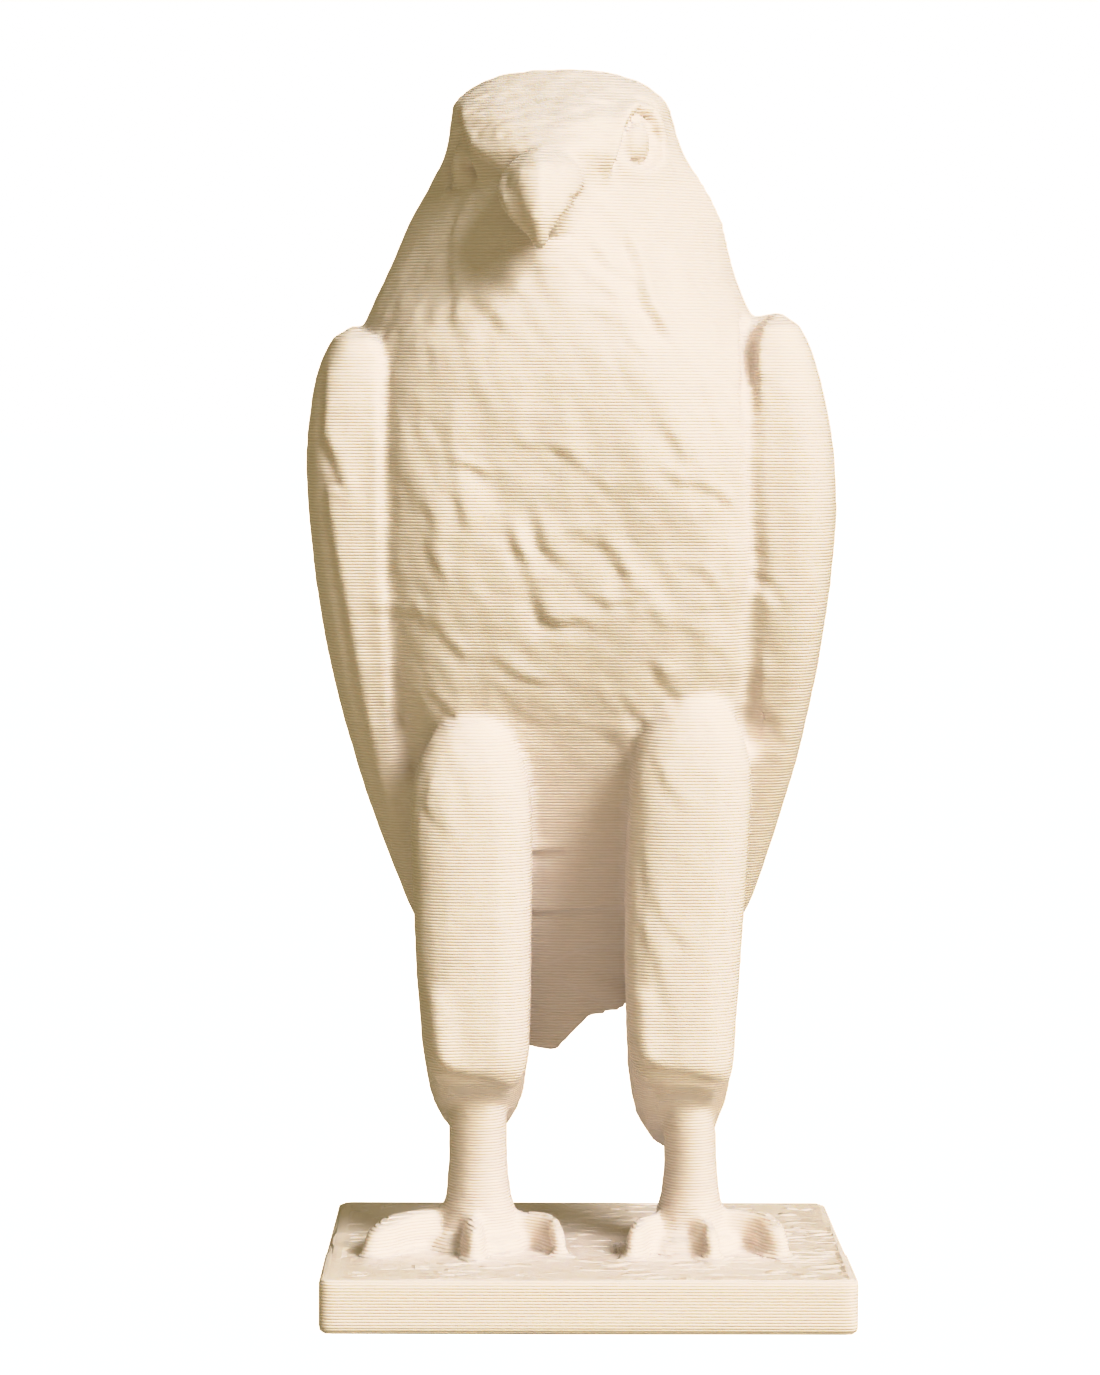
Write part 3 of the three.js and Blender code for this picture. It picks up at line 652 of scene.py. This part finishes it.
hollow(BREAST_LIP, width=0.4, depth=-0.12)
hollow(LONG_CHIP, width=0.8, depth=0.16)
hollow(LOW_CHIP, width=0.7, depth=0.1)
ledge(LOW_CHIP_EDGE, rise=0.18, softness=0.22, reach=0.8)
ledge(LOWEST_NICK, rise=0.12, softness=0.2, reach=0.7)
hollow(FLAKE, width=0.5, depth=-0.22)
ledge(FLAKE_EDGE, rise=0.22, softness=0.16, reach=0.7)
ledge(FLAKE_INNER_EDGE, rise=0.16, softness=0.14, reach=0.5)
ledge(HIGH_NICK, rise=0.08, softness=0.3, reach=0.9)
surface.refresh()
print("chips on the right wing")

# %% [markdown]
# Thighs, tail and toes
#
# The feathered thighs are smoother. The right one has two slanting grooves that start from the edge
# of its front face, the left one a few nicks, and both front faces end in a clear lip over the
# shanks. The tail shows one level crack and a few ripples above its broken end. Between the toes
# the skin is sunk a little, so that each toe reads by itself.

# %% Marks on the thighs and the tail: places in the photo, then rise and softness in mm
LOWER_MARKS = {
    "upper slanting groove": ([(642, 858), (648, 888), (656, 906), (667, 926), (681, 941)], 0.14, 0.25),
    "lower slanting groove": ([(641, 932), (652, 955), (661, 982), (667, 1003)], 0.15, 0.25),
    "short slanting groove": ([(657, 766), (665, 785), (674, 797)], 0.2, 0.25),
    "nick on the left thigh": ([(427, 786), (424, 806), (432, 818)], 0.22, 0.2),
    "second nick": ([(440, 812), (446, 828)], 0.14, 0.2),
    "faint line on the left thigh": ([(452, 755), (460, 778), (466, 795)], 0.08, 0.3),
    "lip of the left thigh": ([(440, 1060), (450, 1070), (465, 1075), (490, 1079), (506, 1086)], 0.26, 0.22),
    "lip of the right thigh": ([(642, 1054), (650, 1064), (665, 1069), (690, 1072), (706, 1077)], 0.26, 0.22),
    "level crack in the tail": ([(540, 912), (580, 909), (618, 908)], 0.5, 0.2),
    "nick in the tail": ([(533, 852), (552, 851)], 0.5, 0.2),
    "upper tail ripple": ([(556, 961), (575, 952), (592, 946), (612, 946), (625, 950)], 0.5, 0.3),
    "middle tail ripple": ([(625, 990), (598, 976)], 0.4, 0.25),
    "lower tail ripple": ([(570, 985), (585, 993), (603, 1003)], 0.5, 0.25),
}
LOWER_REACH = 0.9

for places, rise, softness in LOWER_MARKS.values():
    ledge(places, rise, softness, LOWER_REACH)
print(len(LOWER_MARKS), "marks on the thighs and the tail")

# %% The thighs' edges and the gaps between the toes
RIGHT_THIGH_EDGE = [
    (637, 745), (637, 800), (639, 850), (641, 900), (641, 950), (641, 1000), (644, 1045), (652, 1064),
]
TOE_GAPS = {
    "left foot, left gap": [(456, 1232), (456, 1250)],
    "left foot, right gap": [(545, 1228), (549, 1248)],
    "right foot, left gap": [(621, 1240), (622, 1251)],
    "right foot, right gap": [(700, 1228), (702, 1248)],
}
HEM_CORNERS = {
    "left thigh": [(437, 1000), (439, 1030), (444, 1058)],
    "right thigh": [(642, 1000), (643, 1030), (648, 1054)],
}

hollow(RIGHT_THIGH_EDGE, width=0.35, depth=0.05)
for gap in TOE_GAPS.values():
    hollow(gap, width=0.42, depth=0.32)
for corner in HEM_CORNERS.values():
    hollow(corner, width=0.75, depth=-0.4)
surface.refresh()
print(len(TOE_GAPS), "gaps between toes and", len(HEM_CORNERS), "filled corners")

# %% [markdown]
# Unevenness all over
#
# No face of such a carving is quite even. A slow, shallow noise and a finer one go over the front
# and the sides of the bird, and ripples over its crown. The ground on the slab gets a rougher one
# that runs across, inside a smooth rim.

# %% Slow waves and fine grit on the bird: heights and lengths in mm
ACROSS = (1.0, 0.0, 0.0)
SLAB_TOP = 3.6
BIRD_STARTS = (SLAB_TOP + 0.6, SLAB_TOP + 2.5)
NOT_THE_BACK = 0.3
WAVE_LENGTH = 4.5
WAVE_WIDTH = 3.6
WAVE_HEIGHT = 0.05
WAVE_SEED = 4.1
GRIT_LENGTH = 1.3
GRIT_WIDTH = 0.75
GRIT_HEIGHT = 0.03
GRIT_SEED = 2.2

x, y, z = surface.points.T
on_bird = fade(*BIRD_STARTS, z) * (surface.normals[:, 1] < NOT_THE_BACK)
bird_points = np.flatnonzero(on_bird > 0)
waves = stretched_noise(surface.points[bird_points], UPRIGHT, WAVE_LENGTH, WAVE_WIDTH, WAVE_SEED)
surface.push(bird_points, WAVE_HEIGHT * waves * on_bird[bird_points])
grit = stretched_noise(surface.points[bird_points], ACROSS, GRIT_LENGTH, GRIT_WIDTH, GRIT_SEED)
surface.push(bird_points, GRIT_HEIGHT * grit * on_bird[bird_points])
print(len(bird_points), "points made uneven")

# %% Ripples on the crown: heights and lengths in mm
CROWN_RIPPLES_START = (76, 79)
FACING_UP = (0.15, 0.5)
RIPPLE_LENGTH = 2.6
RIPPLE_WIDTH = 0.9
RIPPLE_HEIGHT = 0.14
RIPPLE_SEED = 5.9

crown = fade(*CROWN_RIPPLES_START, z) * fade(*FACING_UP, surface.normals[:, 2])
crown_points = np.flatnonzero(crown > 0)
ripples = stretched_noise(surface.points[crown_points], ACROSS, RIPPLE_LENGTH, RIPPLE_WIDTH, RIPPLE_SEED)
surface.push(crown_points, RIPPLE_HEIGHT * ripples * crown[crown_points])
print(len(crown_points), "points rippled")

# %% The rough ground on the slab: heights and lengths in mm
GROUND_LEFT = -16.2
GROUND_RIGHT = 17
GROUND_DEPTH = 13.2
RIM_SLOPE = 0.5
LYING_FLAT = (0.5, 0.8)
UNDER_THE_TOES = (SLAB_TOP + 0.8, SLAB_TOP + 0.3)
ROUGH_LENGTH = 1.8
ROUGH_WIDTH = 0.7
ROUGH_HEIGHT = 0.14
ROUGH_SEED = 7.7
ROUGH_OCTAVES = 3
GROUND_SUNK = 0.07

inside = fade(0, RIM_SLOPE, x - GROUND_LEFT) * fade(0, RIM_SLOPE, GROUND_RIGHT - x)
inside *= fade(0, RIM_SLOPE, GROUND_DEPTH - np.abs(y))
ground = inside * fade(*LYING_FLAT, surface.normals[:, 2]) * fade(*UNDER_THE_TOES, z)
ground_points = np.flatnonzero(ground > 0)
rough = stretched_noise(
    surface.points[ground_points], ACROSS, ROUGH_LENGTH, ROUGH_WIDTH, ROUGH_SEED, ROUGH_OCTAVES
)
surface.points[ground_points, 2] += ground[ground_points] * (ROUGH_HEIGHT * rough - GROUND_SUNK)
print(len(ground_points), "points of rough ground")

# %% Keep the skin inside the solid's box
low, high = (np.array(corner) / MM for corner in solid_box)
print("past the box's low sides, in mm", (low - surface.points.min(axis=0)).round(3))
print("past the box's high sides, in mm", (surface.points.max(axis=0) - high).round(3))
surface.points = np.clip(surface.points, low, high)
surface.write()
only(figure)
bpy.ops.object.shade_smooth()

# %% [markdown]
# Printed plastic
#
# The plastic is a warm cream that lets a little light in, so its shaded sides glow towards amber.
# Every 0.2 mm the printer laid a new line. On upright walls each line bulges, with a fine
# groove between neighbours, and the grooves are painted a darker cream as painted shade. On nearly
# level faces the lines become terraces, like the contours of a map. Both come from the height
# alone, and the surface's own slope decides which one shows.

# %% A material and helpers for its nodes
plastic = bpy.data.materials.new("cream_layered_plastic")
plastic.use_nodes = True
plastic_nodes = plastic.node_tree
plastic_nodes.nodes.clear()


def add_node(kind, **settings):
    node = plastic_nodes.nodes.new(kind)
    for setting, value in settings.items():
        setattr(node, setting, value)
    return node


def link(source, target):
    plastic_nodes.links.new(source, target)


def calculate(operation, *inputs, clamp=False):
    """A Math node. Each input is a number or another node's output."""
    node = add_node("ShaderNodeMath", operation=operation, use_clamp=clamp)
    for socket, value in zip(node.inputs, inputs):
        if isinstance(value, (int, float)):
            socket.default_value = value
        else:
            link(value, socket)
    return node.outputs[0]


def uneven(scale, detail):
    texture = add_node("ShaderNodeTexNoise")
    texture.inputs["Scale"].default_value = scale
    texture.inputs["Detail"].default_value = detail
    link(place, texture.inputs["Vector"])
    return texture.outputs[0]


place = add_node("ShaderNodeTexCoord").outputs["Object"]
print("material", plastic.name)

# %% Bulging lines for the upright walls
LAYER_HEIGHT = 0.2 * MM
BULGE = 0.036 * MM

split_place = add_node("ShaderNodeSeparateXYZ")
link(place, split_place.inputs[0])
height = split_place.outputs["Z"]
within_layer = calculate("FRACT", calculate("DIVIDE", height, LAYER_HEIGHT))
from_middle = calculate("MULTIPLY_ADD", within_layer, 2, -1)
squared = calculate("MULTIPLY", from_middle, from_middle)
wall = calculate("MULTIPLY", calculate("SUBTRACT", 1, squared), BULGE)
print("layers of", LAYER_HEIGHT / MM, "mm")

# %% Terraces for the nearly level faces
WOBBLE_SCALE = 160
WOBBLE_DETAIL = 2
WOBBLE_HEIGHT = 0.35 * MM
RISER_SHARE = 0.3
TERRACE_HEIGHT = 0.9 * LAYER_HEIGHT

wobble = calculate("MULTIPLY", uneven(WOBBLE_SCALE, WOBBLE_DETAIL), WOBBLE_HEIGHT)
wavy = calculate("ADD", height, wobble)
on_tread = calculate("FRACT", calculate("DIVIDE", wavy, LAYER_HEIGHT))
riser = calculate("MULTIPLY_ADD", on_tread, 1 / RISER_SHARE, 1 - 1 / RISER_SHARE, clamp=True)
terrace = calculate("MULTIPLY", calculate("SUBTRACT", riser, on_tread), TERRACE_HEIGHT)
print("terraces of", round(TERRACE_HEIGHT / MM, 2), "mm")

# %% The slope chooses between them, and a fine grain is added
TERRACES_START = 0.55
TERRACES_FULL = 0.9
GRAIN_SCALE = 2600
GRAIN_DETAIL = 3
GRAIN_HEIGHT = 0.018 * MM
# A Mix node keeps one set of sockets for numbers and another for colours.
MIX_FACTOR, MIX_FIRST_NUMBER, MIX_SECOND_NUMBER = 0, 2, 3

slope = add_node("ShaderNodeSeparateXYZ")
link(add_node("ShaderNodeNewGeometry").outputs["Normal"], slope.inputs[0])
terraced = add_node("ShaderNodeMapRange", interpolation_type="SMOOTHSTEP")
terraced.inputs["From Min"].default_value = TERRACES_START
terraced.inputs["From Max"].default_value = TERRACES_FULL
link(calculate("ABSOLUTE", slope.outputs["Z"]), terraced.inputs["Value"])
relief = add_node("ShaderNodeMix")
link(terraced.outputs[0], relief.inputs[MIX_FACTOR])
link(wall, relief.inputs[MIX_FIRST_NUMBER])
link(terrace, relief.inputs[MIX_SECOND_NUMBER])
grain = calculate("MULTIPLY", uneven(GRAIN_SCALE, GRAIN_DETAIL), GRAIN_HEIGHT)
bump = add_node("ShaderNodeBump")
bump.inputs["Strength"].default_value = 1
bump.inputs["Distance"].default_value = 1
link(calculate("ADD", relief.outputs[0], grain), bump.inputs["Height"])
print("relief nodes", len(plastic_nodes.nodes))

# %% Painted shade in the grooves between the lines
CREAM = (0.87, 0.80, 0.77, 1)
GROOVE_PAINTED_SHADE = (0.68, 0.56, 0.45, 1)
GROOVE_SHARPNESS = 3
GROOVE_SHADE_STRENGTH = 0.65
MIX_FIRST_COLOUR, MIX_SECOND_COLOUR, MIXED_COLOUR = 6, 7, 2

# The grooves are painted darker and browner: painted shade for the self-shadow that the fine bump does not
# cast.
groove = calculate("POWER", calculate("ABSOLUTE", from_middle), GROOVE_SHARPNESS)
upright = calculate("SUBTRACT", 1, terraced.outputs[0])
painted_groove_shade = calculate("MULTIPLY", calculate("MULTIPLY", groove, upright), GROOVE_SHADE_STRENGTH)
colour = add_node("ShaderNodeMix", data_type="RGBA")
colour.inputs[MIX_FIRST_COLOUR].default_value = CREAM
colour.inputs[MIX_SECOND_COLOUR].default_value = GROOVE_PAINTED_SHADE
link(painted_groove_shade, colour.inputs[MIX_FACTOR])
print("groove strength", GROOVE_SHADE_STRENGTH)

# %% The plastic itself, and its place in the frame
ROUGHNESS = 0.5
SHINE = 0.35
LIGHT_LET_IN = 0.25
REDDER_DEEP_DOWN = (1.0, 0.75, 0.5)
LIGHT_REACHES = 1.2 * MM

shader = add_node("ShaderNodeBsdfPrincipled")
shader.inputs["Roughness"].default_value = ROUGHNESS
shader.inputs["Specular IOR Level"].default_value = SHINE
shader.inputs["Subsurface Weight"].default_value = LIGHT_LET_IN
shader.inputs["Subsurface Radius"].default_value = REDDER_DEEP_DOWN
shader.inputs["Subsurface Scale"].default_value = LIGHT_REACHES
link(colour.outputs[MIXED_COLOUR], shader.inputs["Base Color"])
link(bump.outputs[0], shader.inputs["Normal"])
link(shader.outputs[0], add_node("ShaderNodeOutputMaterial").inputs["Surface"])

figure.data.materials.clear()
figure.data.materials.append(plastic)
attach(figure, "root")
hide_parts("falcon_figure")
print(figure.name, "wears", plastic.name)

# %% [markdown]
# Floor and surroundings
#
# The photo has a plain white ground. The figure's shaded sides are a warm tan in it, so the light
# that comes back from the room must be warm. The floor and the surroundings are therefore white
# where the camera sees them, and lend the figure only their warm part.

# %% White for the camera, warm for the figure
BACKDROP_BRIGHTNESS = 2.0


def seen_or_lent(tree, seen, lent, output):
    """What the camera sees directly, and what the same surface lends to its neighbours."""
    path = tree.nodes.new("ShaderNodeLightPath")
    choice = tree.nodes.new("ShaderNodeMixShader")
    tree.links.new(path.outputs["Is Camera Ray"], choice.inputs[0])
    tree.links.new(lent.outputs[0], choice.inputs[1])
    tree.links.new(seen.outputs[0], choice.inputs[2])
    tree.links.new(choice.outputs[0], output.inputs["Surface"])


print("backdrop brightness", BACKDROP_BRIGHTNESS)

# %% The floor
FLOOR_SIZE = 6
PAPER_GREY = (0.6, 0.6, 0.6, 1)
PAPER_ROUGHNESS = 0.9
WHITE = (1, 1, 1, 1)
FLOOR_TAN = (0.54, 0.49, 0.34, 1)

bpy.ops.object.select_all(action="DESELECT")
bpy.ops.mesh.primitive_plane_add(size=FLOOR_SIZE, location=(0, 0, 0))
floor = bpy.context.object
floor.name = "studio_floor"
paper = bpy.data.materials.new("white_paper")
paper.use_nodes = True
nodes = paper.node_tree.nodes
white = nodes["Principled BSDF"]
white.inputs["Base Color"].default_value = PAPER_GREY
white.inputs["Roughness"].default_value = PAPER_ROUGHNESS
white.inputs["Emission Color"].default_value = WHITE
white.inputs["Emission Strength"].default_value = BACKDROP_BRIGHTNESS
tan = nodes.new("ShaderNodeBsdfDiffuse")
tan.inputs["Color"].default_value = FLOOR_TAN
seen_or_lent(paper.node_tree, white, tan, nodes["Material Output"])
floor.data.materials.append(paper)
print("floor", FLOOR_SIZE, "m wide")

# %% The surroundings
ROOM_GLOW = (1, 0.74, 0.14, 1)
ROOM_STRENGTH = 0.225

world = bpy.data.worlds.new("pale_surroundings")
world.use_nodes = True
nodes = world.node_tree.nodes
room = nodes["Background"]
room.inputs["Color"].default_value = ROOM_GLOW
room.inputs["Strength"].default_value = ROOM_STRENGTH
backdrop = nodes.new("ShaderNodeBackground")
backdrop.inputs["Color"].default_value = WHITE
backdrop.inputs["Strength"].default_value = BACKDROP_BRIGHTNESS
seen_or_lent(world.node_tree, backdrop, room, nodes["World Output"])
scene.world = world
print("surroundings", world.name)

# %% [markdown]
# Lamps
#
# The photo's light is soft and comes from the upper right. One broad sun gives the lit side and
# the beak's soft shadow. A weak one from the ceiling lifts the crown and the slab, and a weak one
# from low in front shows the tail.

# %% Three soft suns: where from, strength, width of the source and colour
SUNS = {
    "soft_key": (Vector((0.8, -1, 0.85)), 3.4, math.radians(25), (0.93, 0.935, 0.99)),
    "soft_ceiling": (Vector((0, 0, 1)), 0.45, math.radians(80), (1, 1, 1)),
    "low_fill": (Vector((0.1, -1, -0.1)), 0.5, math.radians(40), (1, 0.92, 0.66)),
}

for name, (comes_from, strength, softness, sun_colour) in SUNS.items():
    sun = bpy.data.lights.new(name, "SUN")
    sun.energy = strength
    sun.angle = softness
    sun.color = sun_colour
    lamp = bpy.data.objects.new(name, sun)
    scene.collection.objects.link(lamp)
    lamp.rotation_euler = comes_from.to_track_quat("Z", "Y").to_euler()
print(len(SUNS), "suns")

# %% [markdown]
# The camera's tones
#
# The photo's highlights bend over softly and stay cream instead of going white. Each colour
# channel gets the same bend, scaled to the plastic's share of that channel, and the shades lose a
# little green and blue. The backdrop alone reaches full white.

# %% A soft shoulder for the highlights: how bright a thing is, and how bright it is shown
TONES = [(0.3, 0.275), (0.6, 0.625), (0.8, 0.825), (1.0, 0.915), (1.25, 0.967), (1.6, 0.995)]
PLASTIC_SHARES = (1, 0.918, 0.83)
SHADE_SHARES = (1, 0.985, 0.955)
SHADE_LIMIT = 0.7

look = scene.view_settings
look.view_transform = "Standard"
look.use_curve_mapping = True
look.curve_mapping.white_level = (BACKDROP_BRIGHTNESS,) * 3
for curve, share, shade in zip(look.curve_mapping.curves, PLASTIC_SHARES, SHADE_SHARES):
    for light, shown in TONES:
        in_shade = shade if light < SHADE_LIMIT else 1
        curve.points.new(light * share / BACKDROP_BRIGHTNESS, shown * share * in_shade)
look.curve_mapping.update()
print("tone curves", len(look.curve_mapping.curves[0].points), "points each")
